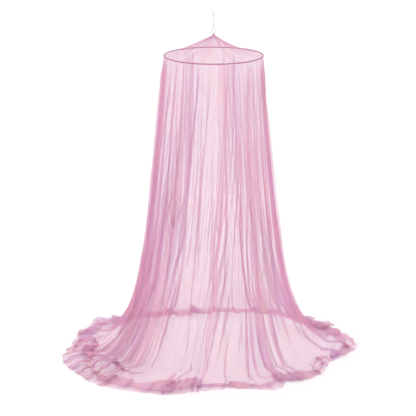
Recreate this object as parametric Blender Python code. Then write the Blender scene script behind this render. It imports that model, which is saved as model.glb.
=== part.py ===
"""Mosquito net canopy: a net skirt and tent roof spread by a hoop, hung on a thin cord.

Metres, +Z up. The origin is the point where a ceiling hook bears in the top loop, on the
hoop's axis, and the floor that the hem lies on is HANG_HEIGHT below it. -Y is the front,
where the skirt's two free edges lap over each other. Heights in the tables are above the
floor. A turn is an angle round the axis in degrees: 0 at the front, 90 at +X, 180 at the
back and 270 at -X, so 365 is 5 degrees past the front on the second time round.
"""
import math
from collections import namedtuple

import bmesh
import bpy
from mathutils import Vector

HANG_HEIGHT = 2.172
HOOP_HEIGHT = 1.900
HOOP_RADIUS = 0.300
HOOP_ROD = 0.0030
HOOP_STEPS = 48
CASING_SIDES = 8
CASING_CLOTH = 0.0010
NET_CLOTH = 0.0012
GAP = 0.0003

ROOF_RISE = 0.121
ROOF_HOLLOW = 1.38
ROOF_TIP = 0.0088
ROOF_GATHERS = 14
ROOF_GATHER_DEPTH = 0.0030
ROOF_RINGS = (1.0, 0.85, 0.62, 0.38, 0.17)

BINDING_WAIST = 0.0080
BINDING_KNOB = 0.0102
LOOP_CORD = 0.0010
LOOP_HALF_WIDTH = 0.011
LOOP_PEAR = 0.45
LOWER_LOOP_TALL = 0.036
KNOT_RADIUS = 0.0032
KNOT_TALL = 0.0085
CORD_RADIUS = 0.00125
UPPER_LOOP_TALL = 0.026
UPPER_LOOP_HALF_WIDTH = 0.007

# The skirt's outline at each height, as its reach to the four sides.
Section = namedtuple("Section", "height left right front back")
SECTIONS = (
    Section(1.895, 0.300, 0.300, 0.300, 0.300),
    Section(1.690, 0.317, 0.309, 0.311, 0.313),
    Section(1.310, 0.354, 0.341, 0.343, 0.350),
    Section(0.930, 0.392, 0.382, 0.382, 0.395),
    Section(0.540, 0.444, 0.439, 0.432, 0.452),
    Section(0.300, 0.514, 0.505, 0.468, 0.515),
    Section(0.130, 0.625, 0.590, 0.500, 0.585),
    Section(0.045, 0.725, 0.685, 0.535, 0.640),
)

# The hem on the floor: how far it reaches at each turn, and how high the cloth heaps there.
Hem = namedtuple("Hem", "turn reach heap")
HEMS = (
    Hem(0, 0.672, 0.034),
    Hem(11, 0.655, 0.022),
    Hem(22, 0.720, 0.026),
    Hem(31, 0.765, 0.036),
    Hem(38, 0.700, 0.040),
    Hem(47, 0.755, 0.050),
    Hem(58, 0.775, 0.046),
    Hem(74, 0.755, 0.040),
    Hem(84, 0.835, 0.044),
    Hem(97, 0.925, 0.056),
    Hem(118, 0.900, 0.048),
    Hem(140, 0.880, 0.046),
    Hem(160, 0.785, 0.036),
    Hem(178, 0.742, 0.030),
    Hem(185, 0.748, 0.034),
    Hem(191, 0.756, 0.064),
    Hem(197, 0.775, 0.036),
    Hem(207, 0.830, 0.042),
    Hem(222, 0.925, 0.066),
    Hem(240, 0.945, 0.074),
    Hem(262, 0.915, 0.060),
    Hem(280, 0.960, 0.052),
    Hem(295, 0.925, 0.060),
    Hem(310, 0.905, 0.056),
    Hem(326, 0.800, 0.044),
    Hem(341, 0.780, 0.040),
    Hem(352, 0.700, 0.036),
)

# The main folds, from the right free edge round the back to the left free edge: the turn
# at the hoop, halfway down and at the foot, then the width, depth and lean at the foot. A
# depth below zero is a groove, and a lean tips the crest towards the next fold.
Fold = namedtuple("Fold", "hoop middle foot width depth lean")
FOLDS = (
    Fold(16, 12, 8, 0.022, -0.014, 0.000),
    Fold(30, 27, 22, 0.024, 0.018, 0.006),
    Fold(42, 39, 36, 0.034, 0.030, -0.012),
    Fold(51, 49, 46, 0.028, 0.024, -0.008),
    Fold(61, 59, 57, 0.026, 0.020, 0.004),
    Fold(70, 69, 68, 0.028, 0.024, 0.008),
    Fold(79, 79, 79, 0.030, 0.026, -0.006),
    Fold(88, 89, 90, 0.030, 0.030, 0.006),
    Fold(98, 99, 101, 0.032, 0.026, 0.010),
    Fold(108, 110, 113, 0.030, 0.024, -0.004),
    Fold(120, 122, 124, 0.034, 0.030, 0.008),
    Fold(132, 133, 135, 0.030, 0.022, -0.006),
    Fold(144, 145, 147, 0.034, 0.026, 0.004),
    Fold(156, 157, 158, 0.030, 0.030, -0.010),
    Fold(168, 168, 169, 0.026, 0.022, 0.006),
    Fold(181, 181, 180, 0.036, 0.026, -0.004),
    Fold(192, 192, 191, 0.028, 0.020, 0.004),
    Fold(205, 204, 204, 0.034, 0.030, 0.008),
    Fold(216, 217, 217, 0.028, 0.024, -0.006),
    Fold(228, 228, 229, 0.034, 0.028, 0.006),
    Fold(240, 240, 241, 0.030, 0.024, -0.008),
    Fold(250, 251, 252, 0.032, 0.030, 0.004),
    Fold(259, 260, 262, 0.030, 0.030, -0.006),
    Fold(268, 268, 269, 0.030, 0.034, 0.006),
    Fold(277, 276, 276, 0.030, 0.032, -0.006),
    Fold(286, 284, 283, 0.030, 0.034, 0.008),
    Fold(295, 292, 290, 0.030, 0.032, 0.004),
    Fold(304, 300, 297, 0.030, 0.030, -0.008),
    Fold(314, 309, 304, 0.028, 0.030, -0.006),
    Fold(325, 319, 311, 0.028, 0.028, 0.006),
    Fold(343, 332, 320, 0.026, 0.026, 0.010),
    Fold(355, 346, 338, 0.022, 0.022, 0.008),
    Fold(366, 355, 345, 0.018, 0.014, -0.004),
    Fold(376, 362, 349, 0.016, 0.016, 0.004),
)
# The free edges in the same terms, and the turns that their hem corners swing to.
FREE_EDGES = (Fold(5, 4, -7.5, 0, 0, 0), Fold(385, 368, 354.5, 0, 0, 0))
HEM_CORNERS = (-9.5, 352.5)

# The rows of the skirt: heights down the wall, then how far out from foot to hem each row
# on the floor lies and how much of the heap's height it has.
WALL_ROWS = (1.84, 1.70, 1.50, 1.27, 1.03, 0.79, 0.58, 0.41, 0.28, 0.185, 0.115, 0.062)
FloorRow = namedtuple("FloorRow", "out heap")
FLOOR_ROWS = (
    FloorRow(0.22, 0.30),
    FloorRow(0.44, 0.95),
    FloorRow(0.64, 0.40),
    FloorRow(0.84, 0.62),
    FloorRow(1.00, 0.02),
)

FOLD_AT_HOOP = 0.22      # share of a fold's depth just under the hoop
NARROW_AT_HOOP = 0.40    # share of a fold's width there
GATHER_IN = 0.03         # share of the drop in which folds start from the seam
DIP = 0.15               # how far the cloth beside a crest draws in, of the depth
FLOOR_FOLD = 0.45        # share of a fold's depth left at the hem
HEAP_WANDER = 0.05       # how far the heap's ridges wander in and out, of the floor's width
HEM_SCALLOP = 0.3        # how far a crest carries the hem out, of its depth
HEAP_WANDERS = 5         # and how often on their way round
HEAP_SWELL = 0.2         # how much the heap's height swells and sinks
HEAP_RIPPLES = 23        # and how often on its way round
LAP_HEAP = 0.4           # how much lower and higher the two flaps heap where they lap
LAP_SEAM = 0.0011        # half the lapped edges' spacing in the seam, centre to centre
LAP_GAP = 0.0085         # and lower down
LAP_OPEN = 0.2           # share of the drop in which it opens from one to the other
LAP_SINK = 0.4           # how much of that spacing is gone at the hem
LAP_FADE = 22.0          # turn past the lap in which that spacing fades out


def above_floor(height):
    """The Z of a height above the floor."""
    return height - HANG_HEIGHT


def smooth(table, x):
    """The value at x on a smooth curve through the table's (x, value) pairs, x rising."""
    last = len(table) - 1
    x = min(max(x, table[0][0]), table[last][0])
    i = 0
    while i < last - 1 and x > table[i + 1][0]:
        i += 1
    (x0, y0), (x1, y1) = table[i], table[i + 1]

    def slope(k):
        low, high = table[max(k - 1, 0)], table[min(k + 1, last)]
        return (high[1] - low[1]) / (high[0] - low[0])

    span = x1 - x0
    t = (x - x0) / span
    return (y0 * (1 + 2 * t) * (1 - t) ** 2 + y1 * t * t * (3 - 2 * t)
            + span * (slope(i) * t * (1 - t) ** 2 - slope(i + 1) * t * t * (1 - t)))


def section_table(side):
    """The (height, reach) pairs of one side of the skirt, lowest first."""
    return [(row.height, getattr(row, side)) for row in reversed(SECTIONS)]


REACHES = {side: section_table(side) for side in ("left", "right", "front", "back")}


def hem_table(field):
    """The (turn, value) pairs of the hem, with a few rows repeated past each end."""
    rows = [(row.turn, getattr(row, field)) for row in HEMS]
    before = [(turn - 360, value) for turn, value in rows[-3:]]
    after = [(turn + 360, value) for turn, value in rows[:3]]
    return before + rows + after


HEM_REACH = hem_table("reach")
HEM_HEAP = hem_table("heap")


def wall_reach(turn, height):
    """The skirt's distance from the axis at a turn and a height, without its folds."""
    angle = math.radians(turn)
    across = REACHES["right"] if math.sin(angle) > 0 else REACHES["left"]
    along = REACHES["front"] if math.cos(angle) > 0 else REACHES["back"]
    a = smooth(across, height)
    b = smooth(along, height)
    return 1 / math.hypot(math.sin(angle) / a, math.cos(angle) / b)


def turn_down(fold, drop):
    """A fold's turn at a share of the drop from the hoop (0) to the floor (1)."""
    return smooth(((0.0, fold.hoop), (0.5, fold.middle), (1.0, fold.foot)), drop)


def growth(drop):
    """The share of its full depth that a fold has at a share of the drop."""
    return min(1.0, drop / GATHER_IN) * (FOLD_AT_HOOP + (1 - FOLD_AT_HOOP) * drop)


def lap(hoop_turn):
    """-1 on the right flap's inner layer, 1 on the left flap's outer one, fading to 0."""
    right, left = FREE_EDGES[0].hoop, FREE_EDGES[1].hoop
    if hoop_turn < 180:
        past = hoop_turn - (left - 360)
        return -min(1.0, max(0.0, 1 - past / LAP_FADE))
    past = (right + 360) - hoop_turn
    return min(1.0, max(0.0, 1 - past / LAP_FADE))


def fold_columns(drop, reach_at):
    """The skirt's columns at a share of the drop, each a turn and a rise off the wall:
    free edge, then beside, on and beside each crest with a flat stretch between folds,
    then the other free edge."""
    edges = [turn_down(edge, drop) for edge in FREE_EDGES]
    previous = edges[0]
    columns = [(previous, 0.0)]
    for fold in FOLDS:
        turn = turn_down(fold, drop)
        per_metre = math.degrees(1 / reach_at(turn))
        half = fold.width / 2 * (NARROW_AT_HOOP + (1 - NARROW_AT_HOOP) * drop) * per_metre
        crest = turn + fold.lean * growth(drop) * per_metre
        depth = fold.depth * growth(drop)
        columns.append(((previous + turn - half) / 2, 0.0))
        columns.append((turn - half, -DIP * depth))
        columns.append((crest, depth))
        columns.append((turn + half, -DIP * depth))
        previous = turn + half
    columns.append(((previous + edges[1]) / 2, 0.0))
    columns.append((edges[1], 0.0))
    return columns


HOOP_TURNS = [column[0] for column in fold_columns(0.0, lambda turn: HOOP_RADIUS)]


def outward(turn):
    """The level unit vector that points away from the axis at a turn."""
    angle = math.radians(turn)
    return Vector((math.sin(angle), -math.cos(angle), 0))


def wall_row(height, top):
    """One row of the skirt's points, at a height."""
    drop = (top - height) / top
    spacing = LAP_SEAM + (LAP_GAP - LAP_SEAM) * min(1.0, drop / LAP_OPEN)
    columns = fold_columns(drop, lambda t: wall_reach(t, height))
    row = []
    for (turn, rise), hoop_turn in zip(columns, HOOP_TURNS):
        reach = wall_reach(turn, height) + rise + spacing * lap(hoop_turn)
        point = outward(turn) * reach
        point.z = above_floor(height)
        row.append(point)
    return row


def corner_turn(k, count):
    """How far the hem swings round, at column k of count, to lap further at its corners."""
    near = 3
    right = HEM_CORNERS[0] - FREE_EDGES[0].foot
    left = HEM_CORNERS[1] - FREE_EDGES[1].foot
    from_left = count - 1 - k
    return right * max(0, near - k) / near + left * max(0, near - from_left) / near


def floor_row(floor, foot_height):
    """One row of the skirt's points on the floor, between the wall's foot and the hem."""
    columns = fold_columns(1.0, lambda t: wall_reach(t, foot_height))
    row = []
    for k, ((turn, rise), hoop_turn) in enumerate(zip(columns, HOOP_TURNS)):
        turn += corner_turn(k, len(columns)) * floor.out
        foot = wall_reach(turn, foot_height)
        hem = smooth(HEM_REACH, turn)
        wander = HEAP_WANDER * math.sin(math.radians(HEAP_WANDERS * turn))
        out = floor.out + wander * math.sin(math.pi * floor.out)
        reach = foot + (hem - foot) * out + HEM_SCALLOP * rise * out
        heap = smooth(HEM_HEAP, turn) * (1 + LAP_HEAP * lap(hoop_turn))
        heap *= 1 - HEAP_SWELL + HEAP_SWELL * math.sin(math.radians(HEAP_RIPPLES * turn))
        fold = rise * (1 - (1 - FLOOR_FOLD) * floor.out)
        height = heap * floor.heap + foot_height * (1 - floor.out) ** 3 + fold
        height += LAP_GAP * lap(hoop_turn) * (1 - LAP_SINK * floor.out)
        point = outward(turn) * reach
        point.z = above_floor(max(height, NET_CLOTH / 2))
        row.append(point)
    return row


def material(name, colour, roughness, alpha=1.0):
    """A plain coloured material."""
    made = bpy.data.materials.new(name)
    made.use_nodes = True
    shader = made.node_tree.nodes["Principled BSDF"]
    shader.inputs["Base Color"].default_value = (*colour, 1)
    shader.inputs["Roughness"].default_value = roughness
    shader.inputs["Metallic"].default_value = 0.0
    shader.inputs["Alpha"].default_value = alpha
    made.diffuse_color = (*colour, alpha)
    return made


def add_object(name, data, finish):
    """Put a mesh or curve in the scene under a name, with a material."""
    made = bpy.data.objects.new(name, data)
    bpy.context.collection.objects.link(made)
    data.materials.append(finish)
    return made


def grid_object(name, rows, finish, closed_round, closed_down=False):
    """A mesh through rows of points, its faces outward where rows run down and each row
    runs round by rising turn."""
    bm = bmesh.new()
    verts = [[bm.verts.new(point) for point in row] for row in rows]
    across = len(rows[0])
    down = len(rows)
    for i in range(down if closed_down else down - 1):
        for j in range(across if closed_round else across - 1):
            here, below = verts[i], verts[(i + 1) % down]
            beside = (j + 1) % across
            bm.faces.new((here[j], below[j], below[beside], here[beside]))
    mesh = bpy.data.meshes.new(name)
    bm.to_mesh(mesh)
    bm.free()
    mesh.shade_smooth()
    return add_object(name, mesh, finish)


def give_thickness(sheet, thickness):
    """Turn a sheet into a closed solid, half its thickness to each side."""
    solidify = sheet.modifiers.new("cloth thickness", "SOLIDIFY")
    solidify.thickness = thickness
    solidify.offset = 0.0


def ring_of(section):
    """The rows of points that a closed section, as (reach, height) pairs, makes round the
    hoop's axis."""
    turns = [360 * k / HOOP_STEPS for k in range(HOOP_STEPS)]
    rows = []
    for reach, height in section:
        row = [outward(turn) * reach for turn in turns]
        for point in row:
            point.z = above_floor(height)
        rows.append(row)
    return rows


def hoop(finish):
    """The round rod that spreads the net."""
    section = []
    for k in range(8):
        angle = -2 * math.pi * k / 8
        section.append((HOOP_RADIUS + HOOP_ROD * math.cos(angle),
                        HOOP_HEIGHT + HOOP_ROD * math.sin(angle)))
    grid_object("hoop", ring_of(section), finish, closed_round=True, closed_down=True)


def casing_corner(flat, side):
    """A corner of the casing's section, whose flats lie at a distance from the rod's
    centre. Side 0 is the first corner below the slit that faces the axis."""
    step = 2 * math.pi / CASING_SIDES
    corner = flat / math.cos(step / 2)
    angle = math.pi - step * (side + 0.5)
    return HOOP_RADIUS + corner * math.cos(angle), HOOP_HEIGHT + corner * math.sin(angle)


CASING_INNER = HOOP_ROD + GAP
CASING_OUTER = CASING_INNER + CASING_CLOTH


def hoop_casing(finish):
    """The cloth sleeve round the hoop, its slit on the inside where its edges are sewn."""
    outside = [casing_corner(CASING_OUTER, side) for side in range(CASING_SIDES)]
    inside = [casing_corner(CASING_INNER, side) for side in range(CASING_SIDES)]
    section = outside + inside[::-1]
    grid_object("hoop_casing", ring_of(section), finish, closed_round=True,
                closed_down=True)


def roof_height(reach):
    """The roof's height at a distance from the axis: a tent whose sides hang hollow."""
    edge = HOOP_HEIGHT + CASING_OUTER + GAP + NET_CLOTH / 2
    return edge + ROOF_RISE * (1 - reach / HOOP_RADIUS) ** ROOF_HOLLOW


def roof_net(finish):
    """The gathered tent of net from the tip down to the hoop."""
    reaches = [ROOF_TIP] + [HOOP_RADIUS * share for share in reversed(ROOF_RINGS)]
    across = ROOF_GATHERS * 4
    rows = []
    for reach in reaches:
        swell = math.sin(math.pi * reach / HOOP_RADIUS) if ROOF_TIP < reach else 0.0
        row = []
        for k in range(across):
            turn = 360 * k / across
            uneven = 1 + 0.35 * math.sin(math.radians(3 * turn))
            gather = math.cos(math.radians(ROOF_GATHERS * turn))
            point = outward(turn) * reach
            point.z = above_floor(roof_height(reach)
                                  + ROOF_GATHER_DEPTH * swell * uneven * gather)
            row.append(point)
        rows.append(row)
    sheet = grid_object("roof_net", rows, finish, closed_round=True)
    give_thickness(sheet, NET_CLOTH)


def wall_net(finish):
    """The skirt: one cloth from under the casing down to the floor and out to its hem."""
    top = HOOP_HEIGHT - CASING_OUTER - GAP
    rows = [wall_row(top, top)]
    rows += [wall_row(height, top) for height in WALL_ROWS]
    rows += [floor_row(floor, WALL_ROWS[-1]) for floor in FLOOR_ROWS]
    sheet = grid_object("wall_net", rows, finish, closed_round=False)
    give_thickness(sheet, NET_CLOTH)


def turned(name, profile, finish, sides=12):
    """A solid turned on the axis from (radius, height) pairs, top to bottom."""
    bm = bmesh.new()
    rings = []
    for radius, height in profile:
        ring = []
        for k in range(sides):
            point = outward(360 * k / sides) * radius
            point.z = above_floor(height)
            ring.append(bm.verts.new(point))
        rings.append(ring)
    for upper, lower in zip(rings, rings[1:]):
        for k in range(sides):
            beside = (k + 1) % sides
            bm.faces.new((upper[k], lower[k], lower[beside], upper[beside]))
    bm.faces.new(rings[0])
    bm.faces.new(rings[-1][::-1])
    mesh = bpy.data.meshes.new(name)
    bm.to_mesh(mesh)
    bm.free()
    mesh.shade_smooth()
    mesh.set_sharp_from_angle(angle=math.radians(50))
    return add_object(name, mesh, finish)


TIP_HEIGHT = roof_height(ROOF_TIP)
BINDING_TOP = TIP_HEIGHT + 0.0135


def apex_binding(finish):
    """The bound tip: a wrapped stem through the roof's tip, its rounded head seated on
    the net round the hole."""
    seat = TIP_HEIGHT + NET_CLOTH / 2 + GAP
    profile = (
        (0.0045, BINDING_TOP),
        (0.0080, BINDING_TOP - 0.0022),
        (BINDING_KNOB, BINDING_TOP - 0.0060),
        (BINDING_KNOB, seat),
        (BINDING_WAIST, seat),
        (BINDING_WAIST, TIP_HEIGHT - 0.0050),
        (0.0060, TIP_HEIGHT - 0.0100),
    )
    turned("apex_binding", profile, finish, sides=16)


def cord_loop(name, bottom, tall, half_width, wide_end, finish):
    """A tied loop of the cord: pear-shaped, its wide end down (-1) or up (1)."""
    curve = bpy.data.curves.new(name, "CURVE")
    curve.dimensions = "3D"
    curve.bevel_depth = LOOP_CORD
    curve.bevel_resolution = 1
    spline = curve.splines.new("POLY")
    count = 24
    spline.points.add(count - 1)
    spline.use_cyclic_u = True
    reach = tall / 2 - LOOP_CORD
    for k in range(count):
        angle = 2 * math.pi * k / count
        widening = 1 + LOOP_PEAR * wide_end * math.cos(angle)
        point = (half_width * math.sin(angle) * widening, 0,
                 above_floor(bottom + tall / 2) + reach * math.cos(angle), 1)
        spline.points[k].co = point
    return add_object(name, curve, finish)


def knot(name, bottom, finish):
    """A small wrapped knot: two fat turns of cord with a waist between them."""
    thirds = KNOT_TALL / 3
    profile = (
        (KNOT_RADIUS * 0.45, bottom + KNOT_TALL),
        (KNOT_RADIUS, bottom + KNOT_TALL - thirds * 0.6),
        (KNOT_RADIUS * 0.80, bottom + KNOT_TALL / 2),
        (KNOT_RADIUS, bottom + thirds * 0.6),
        (KNOT_RADIUS * 0.45, bottom),
    )
    turned(name, profile, finish, sides=10)


def hanging_cord(name, bottom, top, finish):
    """The straight cord between the two knots."""
    curve = bpy.data.curves.new(name, "CURVE")
    curve.dimensions = "3D"
    curve.bevel_depth = CORD_RADIUS
    curve.bevel_resolution = 2
    curve.use_fill_caps = True
    spline = curve.splines.new("POLY")
    count = 12
    spline.points.add(count - 1)
    for k in range(count):
        height = bottom + (top - bottom) * k / (count - 1)
        spline.points[k].co = (0, 0, above_floor(height), 1)
    return add_object(name, curve, finish)


def main():
    for old in list(bpy.data.objects):
        bpy.data.objects.remove(old, do_unlink=True)

    net = material("pink net", (0.72, 0.22, 0.46), 0.85, alpha=0.45)
    binding = material("pink casing cloth", (0.55, 0.10, 0.30), 0.80)
    rod = material("hoop rod", (0.80, 0.78, 0.76), 0.45)
    cord = material("pale cord", (0.78, 0.78, 0.80), 0.70)

    hoop(rod)
    hoop_casing(binding)
    roof_net(net)
    wall_net(net)
    apex_binding(binding)

    lower_loop = BINDING_TOP + GAP
    lower_knot = lower_loop + LOWER_LOOP_TALL + GAP
    cord_start = lower_knot + KNOT_TALL + GAP
    upper_loop = HANG_HEIGHT + 2 * LOOP_CORD - UPPER_LOOP_TALL
    upper_knot = upper_loop - GAP - KNOT_TALL
    cord_loop("lower_loop", lower_loop, LOWER_LOOP_TALL, LOOP_HALF_WIDTH, -1, cord)
    knot("lower_knot", lower_knot, cord)
    hanging_cord("hanging_cord", cord_start, upper_knot - GAP, cord)
    knot("upper_knot", upper_knot, cord)
    cord_loop("upper_loop", upper_loop, UPPER_LOOP_TALL, UPPER_LOOP_HALF_WIDTH, 1, cord)


main()
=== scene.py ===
import math

import bpy
import numpy as np
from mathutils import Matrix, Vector, noise


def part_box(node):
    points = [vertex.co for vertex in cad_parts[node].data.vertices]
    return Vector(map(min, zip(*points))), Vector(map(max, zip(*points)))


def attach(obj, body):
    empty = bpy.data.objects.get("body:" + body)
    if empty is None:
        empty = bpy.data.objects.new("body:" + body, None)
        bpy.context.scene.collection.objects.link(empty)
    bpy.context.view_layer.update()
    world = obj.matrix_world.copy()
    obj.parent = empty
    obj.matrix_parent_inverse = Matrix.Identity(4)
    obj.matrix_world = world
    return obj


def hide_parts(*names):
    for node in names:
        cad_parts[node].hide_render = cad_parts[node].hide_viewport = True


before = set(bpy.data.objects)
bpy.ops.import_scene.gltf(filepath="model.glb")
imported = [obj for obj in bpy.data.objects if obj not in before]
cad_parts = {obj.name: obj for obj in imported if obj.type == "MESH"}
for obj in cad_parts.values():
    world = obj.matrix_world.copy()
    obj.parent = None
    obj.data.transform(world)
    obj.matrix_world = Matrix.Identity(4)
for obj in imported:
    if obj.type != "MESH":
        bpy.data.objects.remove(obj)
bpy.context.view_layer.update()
bpy.ops.object.select_all(action="DESELECT")

# Metres, +Z up, the origin where the top loop hangs, -Y the front. A turn is an angle round
# the hoop's axis in degrees: 0 at the front, 90 at +X, 180 at the back, 270 at -X.
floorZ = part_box("wall_net")[0].z
hoopLow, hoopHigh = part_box("hoop")
hoopRod = (hoopHigh.z - hoopLow.z) / 2
hoopRadius = (hoopHigh.x - hoopLow.x) / 2 - hoopRod
hoopZ = (hoopHigh.z + hoopLow.z) / 2


def placed(turn, reach, z):
    # points at turns, distances from the axis and heights
    angle, reach, z = np.broadcast_arrays(np.radians(turn), reach, z)
    return np.stack([np.sin(angle) * reach, -np.cos(angle) * reach, z], axis=-1)


def smoothCurve(table, x):
    # the value at x on a smooth curve through (x, value) rows, x rising
    xs, ys = (np.array(column, float) for column in zip(*table))
    last = len(xs) - 1
    low = np.maximum(np.arange(last + 1) - 1, 0)
    high = np.minimum(np.arange(last + 1) + 1, last)
    slopes = (ys[high] - ys[low]) / (xs[high] - xs[low])
    x = np.clip(x, xs[0], xs[-1])
    k = np.clip(np.searchsorted(xs, x, side="right") - 1, 0, last - 1)
    span = xs[k + 1] - xs[k]
    t = (x - xs[k]) / span
    ends = ys[k] * (1 + 2 * t) * (1 - t) ** 2 + ys[k + 1] * t * t * (3 - 2 * t)
    return ends + span * (slopes[k] * t * (1 - t) ** 2 - slopes[k + 1] * t * t * (1 - t))


def softStep(x):
    # 0 to 1 with soft ends
    x = np.clip(x, 0, 1)
    return x * x * (3 - 2 * x)


def fadeIn(x, fade):
    # 0 to 1 from a start over a length
    start, over = fade
    return softStep((x - start) / over)


def turnsApart(turn, middle):
    # how far round a turn lies from another, -180 to 180
    return (turn - middle + 180) % 360 - 180


rippleGain = 1.6        # Blender's noise stays within about 0.6 of zero


def ripple(a, b, seed):
    # smooth noise from about -1 to 1 over two coordinates
    a, b = np.broadcast_arrays(a, b)
    values = [noise.noise((x, y, seed)) for x, y in zip(a.ravel(), b.ravel())]
    return np.array(values).reshape(a.shape) * rippleGain


def between(keys, at):
    # each row of keys read at fractional column numbers, on a smooth curve
    last = keys.shape[1] - 1
    k = np.clip(np.floor(at).astype(int), 0, last - 1)
    t = at - k
    before, here = keys[:, np.maximum(k - 1, 0)], keys[:, k]
    there, after = keys[:, k + 1], keys[:, np.minimum(k + 2, last)]
    return here + 0.5 * t * (there - before + t * (
        2 * before - 5 * here + 4 * there - after + t * (3 * (here - there) + after - before)))


def roundTurns(count):
    # a row of even turns right round
    return np.linspace(0, 360, count, endpoint=False)[None, :]


def facesBetween(here, below, closedRound=True):
    # faces between rows of point numbers, which run round by rising turn
    corners = here, below, np.roll(below, -1, axis=1), np.roll(here, -1, axis=1)
    faces = np.stack(corners, axis=-1)
    return (faces if closedRound else faces[:, :-1]).reshape(-1, 4).tolist()


def newObject(name, data):
    made = bpy.data.objects.new(name, data)
    bpy.context.scene.collection.objects.link(made)
    return made


def pieceFrom(name, points, faces, finish):
    # an object at the origin from points and faces
    mesh = bpy.data.meshes.new(name)
    mesh.from_pydata([tuple(p) for p in points], [], faces)
    mesh.shade_smooth()
    mesh.materials.append(finish)
    return newObject(name, mesh)


def gridPiece(name, points, finish, closedRound=False, uv=None):
    # a sheet through rows of points: rows run down, and each row runs round by rising turn
    down, across = points.shape[:2]
    number = np.arange(down * across).reshape(down, across)
    faces = facesBetween(number[:-1], number[1:], closedRound)
    made = pieceFrom(name, points.reshape(-1, 3), faces, finish)
    if uv is not None:
        layer = made.data.uv_layers.new(name="cloth")
        corners = np.zeros(len(made.data.loops), int)
        made.data.loops.foreach_get("vertex_index", corners)
        layer.data.foreach_set("uv", uv.reshape(-1, 2)[corners].ravel())
    return made


def pointValues(made, name, values):
    # a value at each point of a sheet, which its material reads
    layer = made.data.attributes.new(name, "FLOAT", "POINT")
    layer.data.foreach_set("value", values.ravel().astype(np.float32))


view = {
    "spot": (0.0, -9.53, 1.391),
    "down": 15.38,          # degrees
    "lens": 137.58,         # millimetres, as the sensor
    "sensor": 36.0,
    "shift": -0.01346,
}


def addCamera():
    data = bpy.data.cameras.new("camera")
    data.lens = view["lens"]
    data.sensor_width = view["sensor"]
    data.shift_x = view["shift"]
    camera = newObject("camera", data)
    camera.location = view["spot"]
    camera.rotation_euler = (math.radians(90 - view["down"]), 0, 0)
    bpy.context.scene.camera = camera


addCamera()
print("camera placed")


def newGroup(name, inputs, outputs):
    # a shader node group with named sockets: (name, kind, default) rows
    group = bpy.data.node_groups.new(name, "ShaderNodeTree")
    for label, kind, value in inputs:
        socket = group.interface.new_socket(label, in_out="INPUT", socket_type=kind)
        if value is not None:
            socket.default_value = value
    for label, kind in outputs:
        group.interface.new_socket(label, in_out="OUTPUT", socket_type=kind)
    return group, group.nodes.new("NodeGroupInput"), group.nodes.new("NodeGroupOutput")


def feed(tree, socket, value):
    # a number, a colour or another node's output into a socket
    if isinstance(value, bpy.types.NodeSocket):
        tree.links.new(value, socket)
    else:
        socket.default_value = (*value, 1) if isinstance(value, tuple) else value


def mathNode(tree, kind, a, b=None, c=None, clamp=False):
    # a Math node on sockets or numbers, returning its output
    node = tree.nodes.new("ShaderNodeMath")
    node.operation = kind
    node.use_clamp = clamp
    for socket, value in zip(node.inputs, (a, b, c)):
        if value is not None:
            feed(tree, socket, value)
    return node.outputs[0]


def blendColours(tree, share, first, second):
    # a colour between two; a Mix node's colours are its inputs 6 and 7 and its output 2
    node = tree.nodes.new("ShaderNodeMix")
    node.data_type = "RGBA"
    feed(tree, node.inputs["Factor"], share)
    feed(tree, node.inputs[6], first)
    feed(tree, node.inputs[7], second)
    return node.outputs[2]


holeShape = 0.6         # a hole's width as a share of its height


def netMeshGroup():
    # the net's even mesh of slanted holes: 1 on a thread, 0 in a hole
    group, gin, gout = newGroup(
        "netMesh",
        [("Vector", "NodeSocketVector", None), ("Pitch", "NodeSocketFloat", 0.0018),
         ("Thread", "NodeSocketFloat", 0.1)],
        [("Thread", "NodeSocketFloat")])
    split = group.nodes.new("ShaderNodeSeparateXYZ")
    group.links.new(gin.outputs["Vector"], split.inputs[0])
    x = mathNode(group, "DIVIDE", split.outputs[0], gin.outputs["Pitch"])
    y = mathNode(group, "DIVIDE", split.outputs[1], gin.outputs["Pitch"])
    y = mathNode(group, "MULTIPLY", y, holeShape)
    lines = []
    for kind in ("ADD", "SUBTRACT"):
        across = mathNode(group, "FRACT", mathNode(group, kind, x, y))
        lines.append(mathNode(group, "LESS_THAN", across, gin.outputs["Thread"]))
    group.links.new(mathNode(group, "MAXIMUM", *lines), gout.inputs["Thread"])
    return group


def clothToneGroup():
    # a soft, cloudy change of tone over a cloth
    group, gin, gout = newGroup(
        "clothTone",
        [("Vector", "NodeSocketVector", None), ("Size", "NodeSocketFloat", 6.0),
         ("Light", "NodeSocketColor", (1, 1, 1, 1)), ("Dark", "NodeSocketColor", (0, 0, 0, 1)),
         ("Contrast", "NodeSocketFloat", 1.0)],
        [("Color", "NodeSocketColor")])
    cloud = group.nodes.new("ShaderNodeTexNoise")
    cloud.inputs["Detail"].default_value = 4.0
    group.links.new(gin.outputs["Vector"], cloud.inputs["Vector"])
    group.links.new(gin.outputs["Size"], cloud.inputs["Scale"])
    middled = mathNode(group, "SUBTRACT", cloud.outputs["Fac"], 0.5)
    share = mathNode(group, "MULTIPLY_ADD", middled, gin.outputs["Contrast"], 0.5, clamp=True)
    colour = blendColours(group, share, gin.outputs["Light"], gin.outputs["Dark"])
    group.links.new(colour, gout.inputs["Color"])
    return group


netMesh = netMeshGroup()
clothTone = clothToneGroup()


def newMaterial(name, roughness, sheen=0.0, specular=0.3):
    made = bpy.data.materials.new(name)
    made.use_nodes = True
    shader = made.node_tree.nodes["Principled BSDF"]
    shader.inputs["Roughness"].default_value = roughness
    shader.inputs["Sheen Weight"].default_value = sheen
    shader.inputs["Specular IOR Level"].default_value = specular
    return made, made.node_tree, shader


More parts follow.
